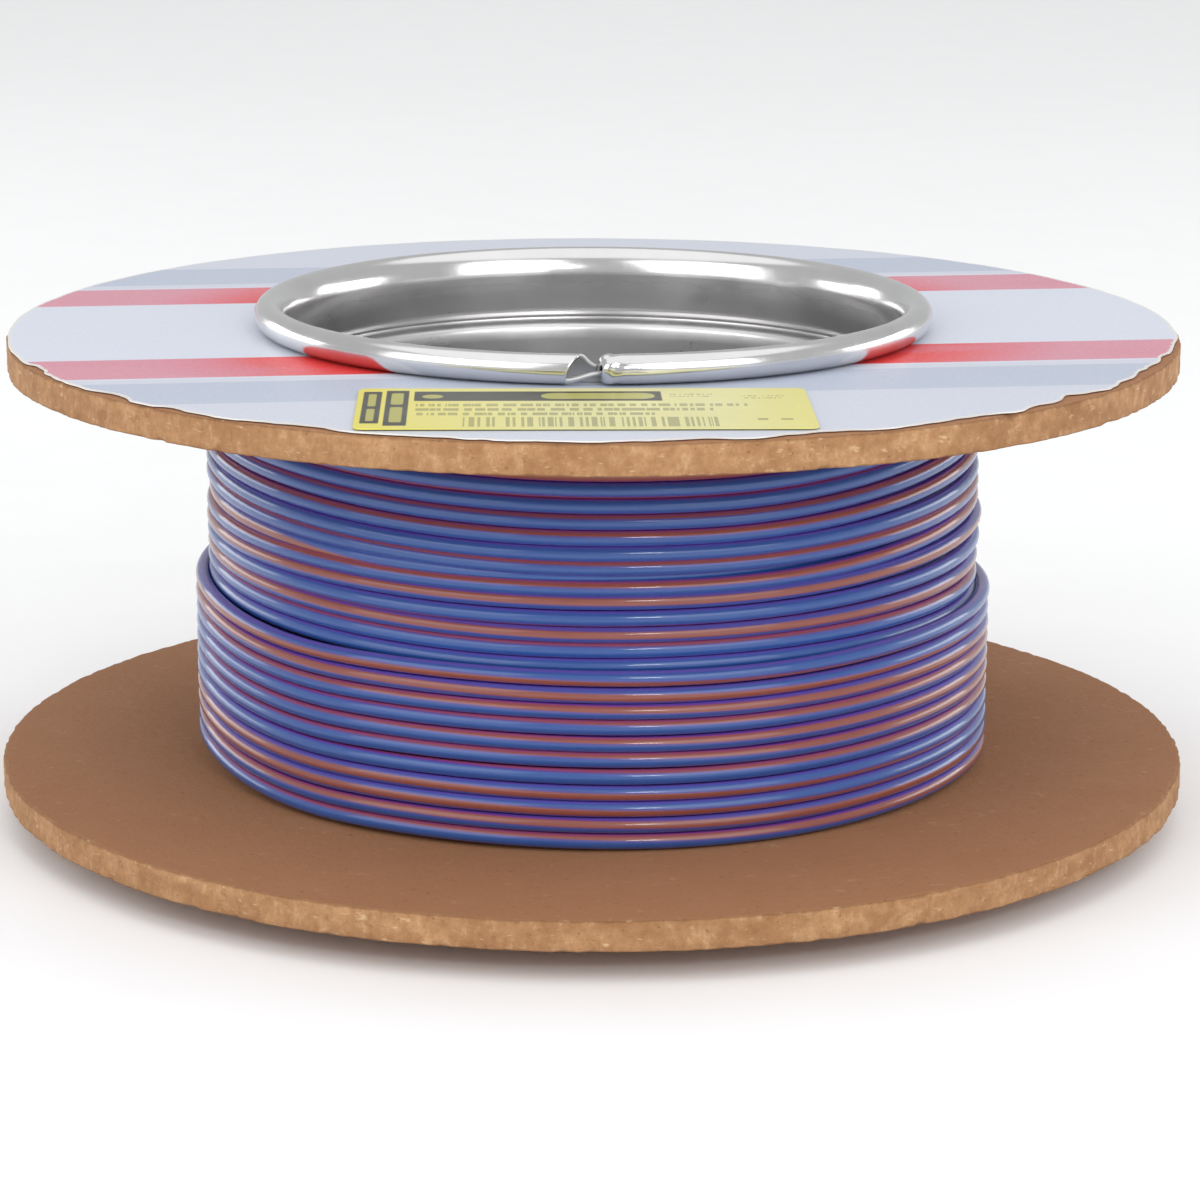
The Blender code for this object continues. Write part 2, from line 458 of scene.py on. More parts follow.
class Slip:
    """A stretch of one turn that has slid out of its row, or whose stripe is twisted.

    Azimuth, spread and twist are given in degrees, outward and upward as lengths.
    """

    def __init__(self, turn, azimuth, spread, outward=0.0, upward=0.0, twist=0.0):
        self.turn = turn
        self.azimuth = math.radians(azimuth)
        self.spread = spread / 360
        self.outward = outward
        self.upward = upward
        self.twist = twist / 360

    def share(self, turns, start):
        """How much of the slip each point of a wire takes that starts at an azimuth."""
        middle = self.turn + ((start - self.azimuth) % math.tau) / math.tau
        return smooth(1.5 - 1.5 * np.abs(turns - middle) / self.spread)


def wander(rng, turns, lobes, size):
    """Slow random wander along the wire, with a number of lobes for each turn."""
    knots = rng.normal(0.0, 1.0, int(turns[-1] * lobes) + 6)
    place = turns * lobes
    first = np.floor(place).astype(int)
    share = smooth(place - first)
    return size * (knots[first] * (1 - share) + knots[first + 1] * share)


def held(values, turns, leave, share):
    """Each turn's own value, left at a share of the turn for the next turn's value."""
    count = turns - leave
    whole = np.floor(count).astype(int)
    moved = smooth((count - whole) / share)
    own = np.asarray(values, dtype=float)
    last = len(own) - 1
    before = own[np.clip(whole, 0, last)]
    after = own[np.clip(whole + 1, 0, last)]
    return before + (after - before) * moved


def wire_path(turn_count, start, levels, crest_radius, rng, steps_per_turn=SHOWN_STEPS, insets=(0.0,),
              slips=(), wave=0.0, from_beneath=True):
    """Centre line of one layer: azimuth, radius, height and turns from its start.

    Each turn lies nearly level and passes to the next one's height in a short step. Its
    waves are those of its neighbours. The first stretch of a layer that comes from beneath
    rises out of the layer there.
    """
    turns = np.linspace(0.0, turn_count, int(turn_count * steps_per_turn) + 1)
    azimuths = start - math.tau * turns
    heights = held(levels, turns, 1 - STEP_SHARE, STEP_SHARE)
    radii = crest_radius - WIRE_RADIUS - held(insets, turns, 1 - STEP_SHARE, STEP_SHARE)
    if from_beneath:
        radii -= LAYER_STEP * (1 - smooth(turns / CLIMB_SHARE))
    radii += wander(rng, turns, lobes=5, size=0.07 * MM) + wander(rng, turns, lobes=22, size=0.04 * MM)
    heights += wave * np.cos(WAVES * azimuths + WAVE_START) + wander(rng, turns, lobes=4, size=0.08 * MM)
    for slip in slips:
        share = slip.share(turns, start)
        radii += share * slip.outward
        heights += share * slip.upward
    return azimuths, radii, heights, turns


def rise(turns, azimuths):
    """How much higher than at the front each turn of the sixth layer lies towards its sides."""
    apart = np.angle(np.exp(1j * (azimuths - FRONT)))
    left = held(SIXTH_LAYER_RISE_LEFT, turns, 1 - STEP_SHARE, STEP_SHARE)
    right = held(SIXTH_LAYER_RISE_RIGHT, turns, 1 - STEP_SHARE, STEP_SHARE)
    left_share = smooth(-apart / RISE_LEFT_REACH) * smooth((math.pi + apart) / RISE_FADE)
    right_share = smooth((apart - RISE_RIGHT_START) / RISE_RIGHT_REACH)
    right_share *= smooth((math.pi - apart) / RISE_FADE)
    return MM * (left * left_share + right * right_share)


def stripe_turns(path, start, angles, lean, rng, slips=()):
    """Stripe's angle along the wire, in turns of its section.

    The angles are the stripe's at the front of each turn, in degrees. The turns past those
    given follow at random, and each angle leans a little from right to left.
    """
    azimuths, _, _, turns = path
    degrees = list(angles)
    while len(degrees) < turns[-1] + 2:
        degrees.append(degrees[-1] + rng.normal(0.0, STRIPE_SCATTER))
    front_share = ((start - FRONT) % math.tau) / math.tau
    leave = front_share + STRIPE_LEAVE
    stripe = held(degrees, turns, leave, STRIPE_CHANGE) / 360 + wander(rng, turns, lobes=3, size=0.012)
    stripe += lean / 360 * np.sin(FRONT - azimuths)
    for slip in slips:
        stripe += slip.share(turns, start) * slip.twist
    return stripe


def wire_mesh(name, path, sides, stripe, materials, replaced=()):
    """Round wire along a path, with its stripe and its section angle as UV layers.

    The first of the materials is on its side and the second on its two cut ends.
    """
    azimuths, radii, heights, turns = path
    section = np.linspace(0.0, math.tau, sides, endpoint=False)
    out = radii[:, None] + WIRE_RADIUS * np.cos(section)[None, :]
    up = heights[:, None] + WIRE_RADIUS * np.sin(section)[None, :]
    x = out * np.cos(azimuths)[:, None]
    y = out * np.sin(azimuths)[:, None]
    verts = np.stack([x, y, up], axis=2).reshape(-1, 3)
    columns = len(azimuths)
    faces = grid_faces(sides, columns, close_rows=True)
    length = turns * math.tau * radii.mean()
    stripe_uv = []
    section_uv = []
    for column in range(columns - 1):
        for row in range(sides):
            here = row / sides
            there = (row + 1) / sides
            corners = ((column, here), (column + 1, here), (column + 1, there), (column, there))
            for place, angle in corners:
                stripe_uv.append((length[place], angle - stripe[place]))
                section_uv.append((length[place], angle))
    for column in (0, columns - 1):
        ring = [column * sides + row for row in range(sides)]
        faces.append(ring if column == 0 else ring[::-1])
        stripe_uv += [(0.0, 0.0)] * sides
        section_uv += [(0.0, 0.5)] * sides
    face_materials = [0] * (len(faces) - 2) + [1, 1]
    uv_layers = {"stripe": stripe_uv, "section": section_uv}
    new_piece(name, verts, faces, materials, replaced, uv_layers, face_materials)


def make_sixth_layer(materials, pitch, rng):
    """The layer that shows above the ledge, with one turn sunk between its neighbours."""
    count = TURNS_PER_LAYER - 1
    levels = SIXTH_LAYER_TOP - pitch * np.arange(count)
    levels[SUNK_TURN:] += pitch
    levels[SUNK_TURN] -= pitch / 2
    levels[SUNK_TURN - 1] += SUNK_DRAW * pitch
    levels[SUNK_TURN + 1] -= SUNK_DRAW * pitch
    insets = np.zeros(count)
    insets[SUNK_TURN] = SUNK_DEPTH
    slips = [
        Slip(SUNK_TURN, azimuth=-158, spread=75, outward=1.1 * MM),
        Slip(SUNK_TURN, azimuth=-165, spread=55, twist=80),
        Slip(SUNK_TURN, azimuth=-18, spread=80, outward=-1.5 * MM, upward=0.3 * MM),
        Slip(SUNK_TURN + 2, azimuth=-8, spread=45, outward=0.8 * MM, upward=0.3 * MM),
        Slip(SUNK_TURN + 3, azimuth=-10, spread=45, outward=0.5 * MM),
    ]
    crest = TUBE_RADIUS + 2 * WIRE_RADIUS + (FULL_LAYERS - 1) * LAYER_STEP
    path = wire_path(count, SIXTH_LAYER_START, levels, crest, rng, insets=insets, slips=slips,
                     wave=SIXTH_LAYER_WAVE)
    azimuths, radii, heights, turns = path
    heights = heights + rise(turns, azimuths)
    heights = np.clip(heights, coil_low.z + WIRE_RADIUS, coil_high.z - WIRE_RADIUS)
    path = (azimuths, radii, heights, turns)
    stripe = stripe_turns(path, SIXTH_LAYER_START, SIXTH_LAYER_STRIPES, SIXTH_LAYER_STRIPE_LEAN, rng, slips)
    wire_mesh("sixth_layer", path, SHOWN_SIDES, stripe, materials, ["wire_coil"])


def make_outermost_layer(materials, rng):
    """The part layer below the ledge, whose cut end lies at the back."""
    levels = coil_low.z + WIRE_RADIUS + OUTER_WAVE + OUTER_PITCH * np.arange(int(OUTER_TURNS) + 1)
    crest = TUBE_RADIUS + 2 * WIRE_RADIUS + FULL_LAYERS * LAYER_STEP
    slips = [
        Slip(10, azimuth=-20, spread=60, outward=0.2 * MM, upward=0.3 * MM),
        Slip(5, azimuth=-100, spread=40, outward=0.1 * MM, upward=0.25 * MM),
    ]
    path = wire_path(OUTER_TURNS, OUTER_START, levels, crest, rng, slips=slips, wave=OUTER_WAVE)
    stripe = stripe_turns(path, OUTER_START, OUTER_STRIPES, OUTER_STRIPE_LEAN, rng)
    wire_mesh("outermost_layer", path, SHOWN_SIDES, stripe, materials)


def make_winding():
    """All layers of the wound wire. The first one lies between the ridges of the tube."""
    materials = [insulation_material(), copper_material()]
    pitch = (coil_high.z - coil_low.z) / TURNS_PER_LAYER
    rng = np.random.default_rng(WINDING_SEED)
    make_sixth_layer(materials, pitch, rng)
    make_outermost_layer(materials, rng)
    middle = (coil_low.z + coil_high.z) / 2
    for layer in range(1, FULL_LAYERS):
        count = TURNS_PER_LAYER - (TURNS_LOST_TO_RIDGES if layer == 1 else (layer + 1) % 2)
        levels = middle + pitch * (np.arange(count) - (count - 1) / 2)
        if layer % 2 == 0:
            levels = levels[::-1]
        crest = TUBE_RADIUS + 2 * WIRE_RADIUS + (layer - 1) * LAYER_STEP
        path = wire_path(count, SIXTH_LAYER_START, levels, crest, rng, steps_per_turn=HIDDEN_STEPS,
                         from_beneath=layer > 2)
        stripe = stripe_turns(path, SIXTH_LAYER_START, (0.0,), 0.0, rng)
        wire_mesh(f"hidden_layer_{layer}", path, HIDDEN_SIDES, stripe, materials)


# Steel

def steel_material(name, dulled):
    """Rolled sheet with fine lines around it, polished where the curls were rolled over.

    A torn face is dulled by an amount that is added to its roughness.
    """
    nodes = Nodes(name)
    place = nodes.place()
    z = nodes.split(place)[2]
    middle = (tube_low.z + tube_high.z) / 2
    half = (tube_high.z - tube_low.z) / 2
    from_middle = nodes.math("ABSOLUTE", nodes.math("SUBTRACT", z, middle))
    rolled = nodes.remap(from_middle, half - POLISH_REACH[0], half - POLISH_REACH[1], smooth_ends=True)
    lines = nodes.noise(nodes.join(0.0, 0.0, nodes.math("MULTIPLY", z, 900.0)), 1.0, 4.0, 0.6)
    smudges = nodes.noise(place, 55.0, 4.0, 0.55)
    handling = nodes.noise(nodes.stretch(place, (260.0, 260.0, 60.0)), 1.0, 5.0, 0.65)
    colour = nodes.mix(smudges, srgb(208, 207, 207), srgb(230, 229, 229))
    plain = nodes.remap(smudges, 0.3, 0.75, 0.26, 0.36)
    polished = nodes.math("ADD", nodes.remap(smudges, 0.3, 0.75, 0.13, 0.22),
                          nodes.remap(handling, 0.55, 0.8, 0.0, 0.06))
    roughness = nodes.math("MULTIPLY_ADD", rolled, nodes.math("SUBTRACT", polished, plain), plain)
    roughness = nodes.math("ADD", roughness, dulled)
    height = nodes.math("ADD", nodes.math("MULTIPLY", lines, 0.6), nodes.math("MULTIPLY", smudges, 1.4))
    return nodes.finish(
        Base_Color=colour,
        Metallic=1.0,
        Roughness=roughness,
        Normal=nodes.bump(height, 0.08, 0.0006),
    )


def curl_centre_height(upward):
    """Height of the middle of a curl: upward is 1 for the upper curl and -1 for the lower one."""
    edge = tube_high.z if upward > 0 else tube_low.z
    return edge - upward * CURL_HEIGHT / 2


def flare_point(share, upward):
    """Point of the sheet's middle line at a share of the way from the wall to the curl's crown."""
    edge = tube_high.z if upward > 0 else tube_low.z
    seat = edge - upward * CURL_HEIGHT
    crown = edge - upward * (SHEET_WALL / 2 + CROWN_CLEARANCE)
    angle = math.pi / 2 * share
    inward = (curl_centre_radius - wall_middle_radius) * math.cos(angle)
    return curl_centre_radius - inward, seat + (crown - seat) * math.sin(angle)


def curl_points(upward):
    """Middle line of the sheet from the wall through the flare and round the roll to its tip."""
    points = [flare_point(step / FLARE_STEPS, upward) for step in range(FLARE_STEPS)]
    centre = curl_centre_height(upward)
    for step in range(ROLL_STEPS + 1):
        angle = math.pi / 2 - ROLL_TURN * step / ROLL_STEPS
        radius = curl_centre_radius + curl_middle_radius * math.cos(angle)
        points.append((radius, centre + upward * curl_middle_radius * math.sin(angle)))
    return points


def wall_points():
    """Middle line of the straight wall from below to above, with both ridges."""
    ridge_middles = (
        lower_board_high.z + SEAT_GAP + RIDGE_HEIGHT / 2,
        upper_board_low.z - SEAT_GAP - RIDGE_HEIGHT / 2,
    )
    lowest = ridge_middles[0] + RIDGE_HEIGHT
    highest = ridge_middles[1] - RIDGE_HEIGHT
    heights = list(np.linspace(lowest, highest, WALL_STEPS + 1))
    for middle in ridge_middles:
        heights += list(middle + np.linspace(-0.5, 0.5, RIDGE_STEPS + 1) * RIDGE_HEIGHT)
    points = []
    for height in sorted(heights):
        radius = wall_middle_radius
        for middle in ridge_middles:
            share = min(abs(height - middle) / (RIDGE_HEIGHT / 2), 1.0)
            radius += RIDGE_PROUD * 0.5 * (1 + math.cos(math.pi * share))
        points.append((radius, height))
    return points


def tube_columns():
    """Columns of the tube, closer together at the seam, by their distance from it along the curl."""
    half_gap = SEAM_GAP_WIDTH / 2
    girth = math.tau * curl_centre_radius
    nose_reach, nose_steps = NOSE_MESH
    open_end_reach, open_end_steps = OPEN_END_MESH
    stretches = (
        (half_gap, GAP_STEPS),
        (half_gap + nose_reach, nose_steps),
        (girth - half_gap - open_end_reach, ROUND_STEPS),
        (girth - half_gap, open_end_steps),
    )
    distances = [-half_gap]
    for end, steps in stretches:
        distances += list(np.linspace(distances[-1], end, steps + 1)[1:])
    return distances[:-1]


def seam_shaped(curl_share, point, anchor, distance, upward):
    """Point of a curl after the seam's damage, and how far it is pushed along the curl.

    The right end is crushed into a folded nose. The left end stays open, and its top leans
    over the gap. Upward is 1 for the upper curl and -1 for the lower one.
    """
    half_gap = SEAM_GAP_WIDTH / 2
    girth = math.tau * curl_centre_radius
    from_right_end = distance - half_gap
    from_left_end = girth - half_gap - distance
    across = np.clip((distance + half_gap) / SEAM_GAP_WIDTH, 0.0, 1.0)
    nose = 1 - np.clip(from_right_end / CRUSH_LENGTH, 0.0, 1.0)
    crushed = CRUSH_LEFT_OVER + (1 - CRUSH_LEFT_OVER) * math.sqrt(1 - nose ** 2)
    if from_right_end < 0:
        crushed = 1 - (1 - crushed) * smooth(across)
    reach = smooth(curl_share / CRUSH_ONSET)
    scale = 1 - (1 - crushed) * reach
    fold = 0.0
    if 0 <= from_right_end < FOLD_REACH:
        fade = 1 - from_right_end / FOLD_REACH
        fold = FOLD_DEPTH * fade * reach * math.sin(FOLD_TWIST * curl_share + from_right_end / FOLD_RUN)
    offset = Vector(point) - Vector(anchor)
    moved = Vector(anchor) + offset * scale + offset.normalized() * fold
    lifted = min(abs(point[1] - anchor[1] + upward * CURL_HEIGHT / 2) / CURL_HEIGHT, 1.0)
    near_gap = 1 - across if from_right_end < 0 else smooth(1 - from_left_end / LEAN_REACH)
    return moved, LEAN * (1 - math.sqrt(1 - lifted ** 2)) * near_gap


def curl_depth(row, rows, last):
    """Steps from the wall to a face row inside either curl, or none on the wall."""
    from_top_seat = row - (rows - last - 1)
    from_bottom_seat = last - 1 - row
    depth = max(from_top_seat, from_bottom_seat)
    return depth if depth >= 0 else None


def bridges_gap(depth, last_column):
    """Whether a face row crosses the seam gap: the wall, the tongue and the strip do."""
    if depth is None:
        return True
    if STRIP_STEPS[0] <= depth - FLARE_STEPS < STRIP_STEPS[1]:
        return True
    return depth < (TONGUE_TIP_STEPS if last_column else FLARE_STEPS)


def make_tube():
    """Rolled sheet tube with both curls, whose seam is open, torn and crushed."""
    last = FLARE_STEPS + ROLL_STEPS
    lower_curl = [(point, place / last, -1) for place, point in enumerate(curl_points(-1))]
    wall = [(point, 0.0, 0) for point in wall_points()]
    upper_curl = [(point, place / last, 1) for place, point in enumerate(curl_points(1))]
    profile = lower_curl[::-1] + wall + upper_curl
    rows = len(profile)
    crown_share = FLARE_STEPS / last
    distances = tube_columns()
    verts = []
    for distance in distances:
        across = (distance + SEAM_GAP_WIDTH / 2) / SEAM_GAP_WIDTH
        for point, share, upward in profile:
            push = 0.0
            if upward:
                if 0 < across < 1 and share <= crown_share:
                    tongue_share = share / crown_share * (1 - TONGUE_TAPER * across)
                    point = flare_point(tongue_share, upward)
                anchor = (curl_centre_radius - CRUSH_ANCHOR_INSET, curl_centre_height(upward))
                point, push = seam_shaped(share, point, anchor, distance, upward)
            azimuth = SEAM_AZIMUTH + (distance + push) / curl_centre_radius
            verts.append((point[0] * math.cos(azimuth), point[0] * math.sin(azimuth), point[1]))
    faces = []
    face_materials = []
    columns = len(distances)
    for column in range(columns):
        after = (column + 1) % columns
        for row in range(rows - 1):
            depth = curl_depth(row, rows, last)
            if column < GAP_STEPS and not bridges_gap(depth, column == GAP_STEPS - 1):
                continue
            here = column * rows + row
            there = after * rows + row
            faces.append((here, there, there + 1, here + 1))
            face_materials.append(1 if column < GAP_STEPS and depth is not None else 0)
    materials = [steel_material("bright_steel", 0.0), steel_material("torn_steel", TORN_DULLNESS)]
    tube = new_piece("rolled_tube", verts, faces, materials, ["hub_tube"],
                     face_materials=face_materials)
    wall_modifier = tube.modifiers.new("sheet wall", "SOLIDIFY")
    wall_modifier.thickness = SHEET_WALL
    wall_modifier.offset = 0.0


# Fibreboard

def board_material():
    """Brown fibreboard with fibres, darker flecks and a paler sawn edge."""
    nodes = Nodes("fibreboard")
    place = nodes.place()
    edge, arris, _ = nodes.split(nodes.uv("finish"))
    clouds = nodes.noise(nodes.stretch(place, (9.0, 9.0, 9.0)), 1.0, 5.0, 0.6)
    mottle = nodes.noise(nodes.stretch(place, (70.0, 70.0, 120.0)), 1.0, 5.0, 0.65)
    fibres = nodes.noise(nodes.stretch(place, (420.0, 420.0, 900.0)), 1.0, 6.0, 0.7)
    specks = nodes.noise(nodes.stretch(place, (900.0, 900.0, 1100.0)), 1.0, 2.0)
    pale_specks = nodes.noise(nodes.stretch(place, (300.0, 300.0, 900.0)), 1.0, 3.0)
    flecks = nodes.remap(specks, 0.66, 0.76)
    pale_flecks = nodes.remap(pale_specks, 0.64, 0.76)
    face = nodes.mix(clouds, srgb(146, 102, 70), srgb(166, 122, 90))
    face = nodes.mix(nodes.remap(mottle, 0.3, 0.7, 0.0, 0.5), face, srgb(152, 106, 72))
    sawn = nodes.noise(nodes.stretch(place, (380.0, 380.0, 300.0)), 1.0, 5.0, 0.7)
    side = nodes.mix(nodes.remap(mottle, 0.3, 0.7), srgb(150, 108, 72), srgb(182, 140, 100))
    side = nodes.mix(nodes.remap(sawn, 0.45, 0.7, 0.0, 0.6), side, srgb(134, 92, 58))
    side = nodes.mix(nodes.remap(sawn, 0.44, 0.3, 0.0, 0.45), side, srgb(206, 172, 134))
    side = nodes.mix(nodes.math("MULTIPLY", arris, 0.55), side, srgb(104, 68, 44))
    colour = nodes.mix(edge, face, side)
    colour = nodes.mix(nodes.math("MULTIPLY", flecks, 0.5), colour, srgb(92, 58, 36))
    fleck_share = nodes.math("MULTIPLY", pale_flecks, nodes.remap(edge, 0.0, 1.0, 0.12, 0.5))
    colour = nodes.mix(fleck_share, colour, srgb(226, 196, 156))
    height = nodes.math("ADD", nodes.math("MULTIPLY", fibres, 0.7), nodes.math("MULTIPLY", mottle, 0.5))
    height = nodes.math("MULTIPLY_ADD", sawn, 0.8, height)
    return nodes.finish(
        Base_Color=colour,
        Roughness=nodes.remap(fibres, 0.3, 0.8, 0.72, 0.95),
        Specular_IOR_Level=0.25,
        Normal=nodes.bump(height, 0.55, 0.0006),
    )


def make_board(name, low, high, seed, replaced, material):
    """Fibreboard disc whose arrises are nicked and frayed.

    Its UV layer says how far a ring belongs to the sawn edge and how far to an arris.
    """
    rng = np.random.default_rng(seed)
    radius = high.x
    columns = BOARD_COLUMNS
    azimuths = np.linspace(0.0, math.tau, columns, endpoint=False)
    face, arris, side = (0.0, 0.0), (1.0, 1.0), (1.0, 0.0)

    def frayed(size, run):
        """Noise around the edge with a size, blurred over a run of columns."""
        return size * blurred(rng.normal(0.0, 1.0, columns), run)

    def nicks(rarity, depth):
        """Notches where the noise is higher than a rarity."""
        return np.clip(frayed(1.0, 4) - rarity, 0.0, NICK_LIMIT) * depth

    def worn_rings(height, inward, wear):
        """Rings from a face over its arris to the side of the board."""
        return [
            (outline - wear * ARRIS_ON_FACE, np.full(columns, height), face),
            (outline - wear * ARRIS_MIDDLE[0], height + inward * wear * ARRIS_MIDDLE[1], arris),
            (outline, height + inward * wear * ARRIS_DOWN_SIDE, side),
        ]

    ragged = frayed(0.11 * MM, 3) + frayed(0.12 * MM, 24)
    outline = radius - BOARD_INSET + np.clip(ragged, -BOARD_INSET, BOARD_INSET)
    upper_nicks = nicks(1.9, 0.7 * MM)
    lower_nicks = nicks(1.8, 0.8 * MM)
    upper_wear = ARRIS + np.abs(frayed(ARRIS_FRAY, 3)) + upper_nicks
    lower_wear = ARRIS + np.abs(frayed(ARRIS_FRAY, 3)) + lower_nicks
    wave = frayed(SIDE_WAVE, 3)
    hollow = outline - SIDE_HOLLOW
    middle = (low.z + high.z) / 2
    from_middle = SIDE_RING_SHARE * (high.z - low.z)
    rings = [(np.full(columns, hole_radius), np.full(columns, low.z), face)]
    rings += worn_rings(low.z, 1, lower_wear)
    rings.append((hollow + wave, np.full(columns, middle - from_middle), side))
    rings.append((hollow - wave, np.full(columns, middle + from_middle), side))
    rings += worn_rings(high.z, -1, upper_wear)[::-1]
    rings.append((np.full(columns, hole_radius), np.full(columns, high.z), face))
    rows = len(rings)
    verts = []
    for column, azimuth in enumerate(azimuths):
        for ring_radius, ring_height, _ in rings:
            reach = min(ring_radius[column], radius)
            verts.append((reach * math.cos(azimuth), reach * math.sin(azimuth), ring_height[column]))
    faces = grid_faces(rows, columns, close_rows=True, close_columns=True)
    uv = []
    for column in range(columns):
        for row in range(rows):
            here = rings[row][2]
            above = rings[(row + 1) % rows][2]
            uv += [here, here, above, above]
    board = new_piece(name, verts, faces, [material], replaced, {"finish": uv})
    board.data.set_sharp_from_angle(angle=SHARP_ANGLE)


# Paper

def paper_material():
    """Bands printed across the facing, with white torn fibres at its edge."""
    nodes = Nodes("printed_paper")
    x, y, _ = nodes.split(nodes.place())
    across = nodes.turned(x, y, math.cos(PRINT_TURN), -math.sin(PRINT_TURN))
    along = nodes.turned(x, y, math.sin(PRINT_TURN), math.cos(PRINT_TURN))
    offset = nodes.math("ABSOLUTE", nodes.math("SUBTRACT", across, PRINT_MIDDLE))

    def band(start, end):
        """Mask of a band on both sides of the print's middle line."""
        rising = nodes.remap(offset, start - PRINT_SOFTNESS, start + PRINT_SOFTNESS)
        falling = nodes.remap(offset, end + PRINT_SOFTNESS, end - PRINT_SOFTNESS)
        return nodes.math("MULTIPLY", rising, falling)

    white = srgb(209, 214, 226)
    pale = srgb(201, 205, 217)
    grey = srgb(182, 189, 205)
    red_worn = srgb(208, 140, 156)
    red_fresh = srgb(222, 52, 50)
    worn = nodes.remap(nodes.length(x, y), *RED_WEAR, smooth_ends=True)
    print_place = nodes.join(nodes.math("MULTIPLY", along, 26.0), nodes.math("MULTIPLY", across, 60.0))
    tint = nodes.noise(print_place, 1.0, 2.0)
    red = nodes.mix(worn, red_fresh, red_worn)
    red = nodes.mix(nodes.remap(tint, 0.5, 0.7, 0.0, 0.5), red, srgb(206, 128, 148))
    colour = nodes.mix(band(*PALE_FIELD), white, pale)
    colour = nodes.mix(band(*GREY_BAND), colour, grey)
    colour = nodes.mix(band(*RED_BAND), colour, red)
    fibre = nodes.noise(nodes.place(), 900.0, 4.0, 0.6)
    cockle = nodes.noise(nodes.stretch(nodes.place(), (24.0, 24.0, 24.0)), 1.0, 3.0)
    from_edge = nodes.split(nodes.uv("edge"))[0]
    ragged = nodes.math("MULTIPLY", nodes.remap(fibre, 0.25, 0.75, 0.2, 1.8), TORN_FIBRES)
    torn = nodes.math("LESS_THAN", from_edge, ragged)
    colour = nodes.mix(torn, colour, srgb(220, 217, 214))
    colour = nodes.mix(nodes.remap(fibre, 0.3, 0.8, 0.0, 0.06), colour, srgb(150, 156, 170))
    height = nodes.math("ADD", nodes.math("MULTIPLY", fibre, 0.05), cockle)
    return nodes.finish(
        Base_Color=colour,
        Roughness=nodes.remap(fibre, 0.3, 0.7, 0.34, 0.5),
        Specular_IOR_Level=0.4,
        Normal=nodes.bump(height, 0.25, 0.0008),
    )


def make_paper():
    """Paper facing with a trimmed edge that is torn at the front.

    Its UV layer holds the distance from the edge.
    """
    rng = np.random.default_rng(PAPER_SEED)
    columns = PAPER_COLUMNS
    azimuths = np.linspace(0.0, math.tau, columns, endpoint=False)
    raw = rng.normal(0.0, 1.0, columns)

    def torn_at(places):
        """Depth of the tears around the edge, each as azimuth, spread and depth."""
        depth = np.zeros(columns)
        for middle, spread, deepest in places:
            apart = np.abs(np.angle(np.exp(1j * (azimuths - math.radians(middle)))))
            depth += deepest * MM * smooth(1.5 - 1.5 * apart / math.radians(spread))
        return depth

    wear = TRIM_WEAR + torn_at(PAPER_WEAR)
    depth = wear * (1.0 + 0.7 * blurred(raw, 22) + 0.3 * blurred(raw, 7)) + torn_at(PAPER_BITES)
    fuzz = 0.06 * MM * np.abs(blurred(raw, 3))
    outline = paper_high.x - np.clip(depth, 0.0, DEEPEST_TEAR) - fuzz
    bottom = paper_low.z
    top = paper_high.z
    hole = np.full(columns, hole_radius)
    rim = outline - PAPER_RIM
    rings = [(hole, bottom), (outline, bottom), (outline, top), (rim, top)]
    rings += [(hole + (rim - hole) * share, top) for share in (0.75, 0.5, 0.25)]
    rings.append((hole, top))
    rows = len(rings)
    verts = []
    for column, azimuth in enumerate(azimuths):
        for ring_radius, height in rings:
            reach = ring_radius[column]
            verts.append((reach * math.cos(azimuth), reach * math.sin(azimuth), height))
    faces = grid_faces(rows, columns, close_rows=True, close_columns=True)
    uv = []
    for column in range(columns):
        after = (column + 1) % columns
        for row in range(rows):
            above = (row + 1) % rows
            for place, ring in ((column, row), (after, row), (after, above), (column, above)):
                uv.append((outline[place] - rings[ring][0][place], 0.0))
    paper = new_piece("paper_facing", verts, faces, [paper_material()], ["flange_paper"],
                      {"edge": uv})
    paper.data.set_sharp_from_angle(angle=SHARP_ANGLE)


# Label

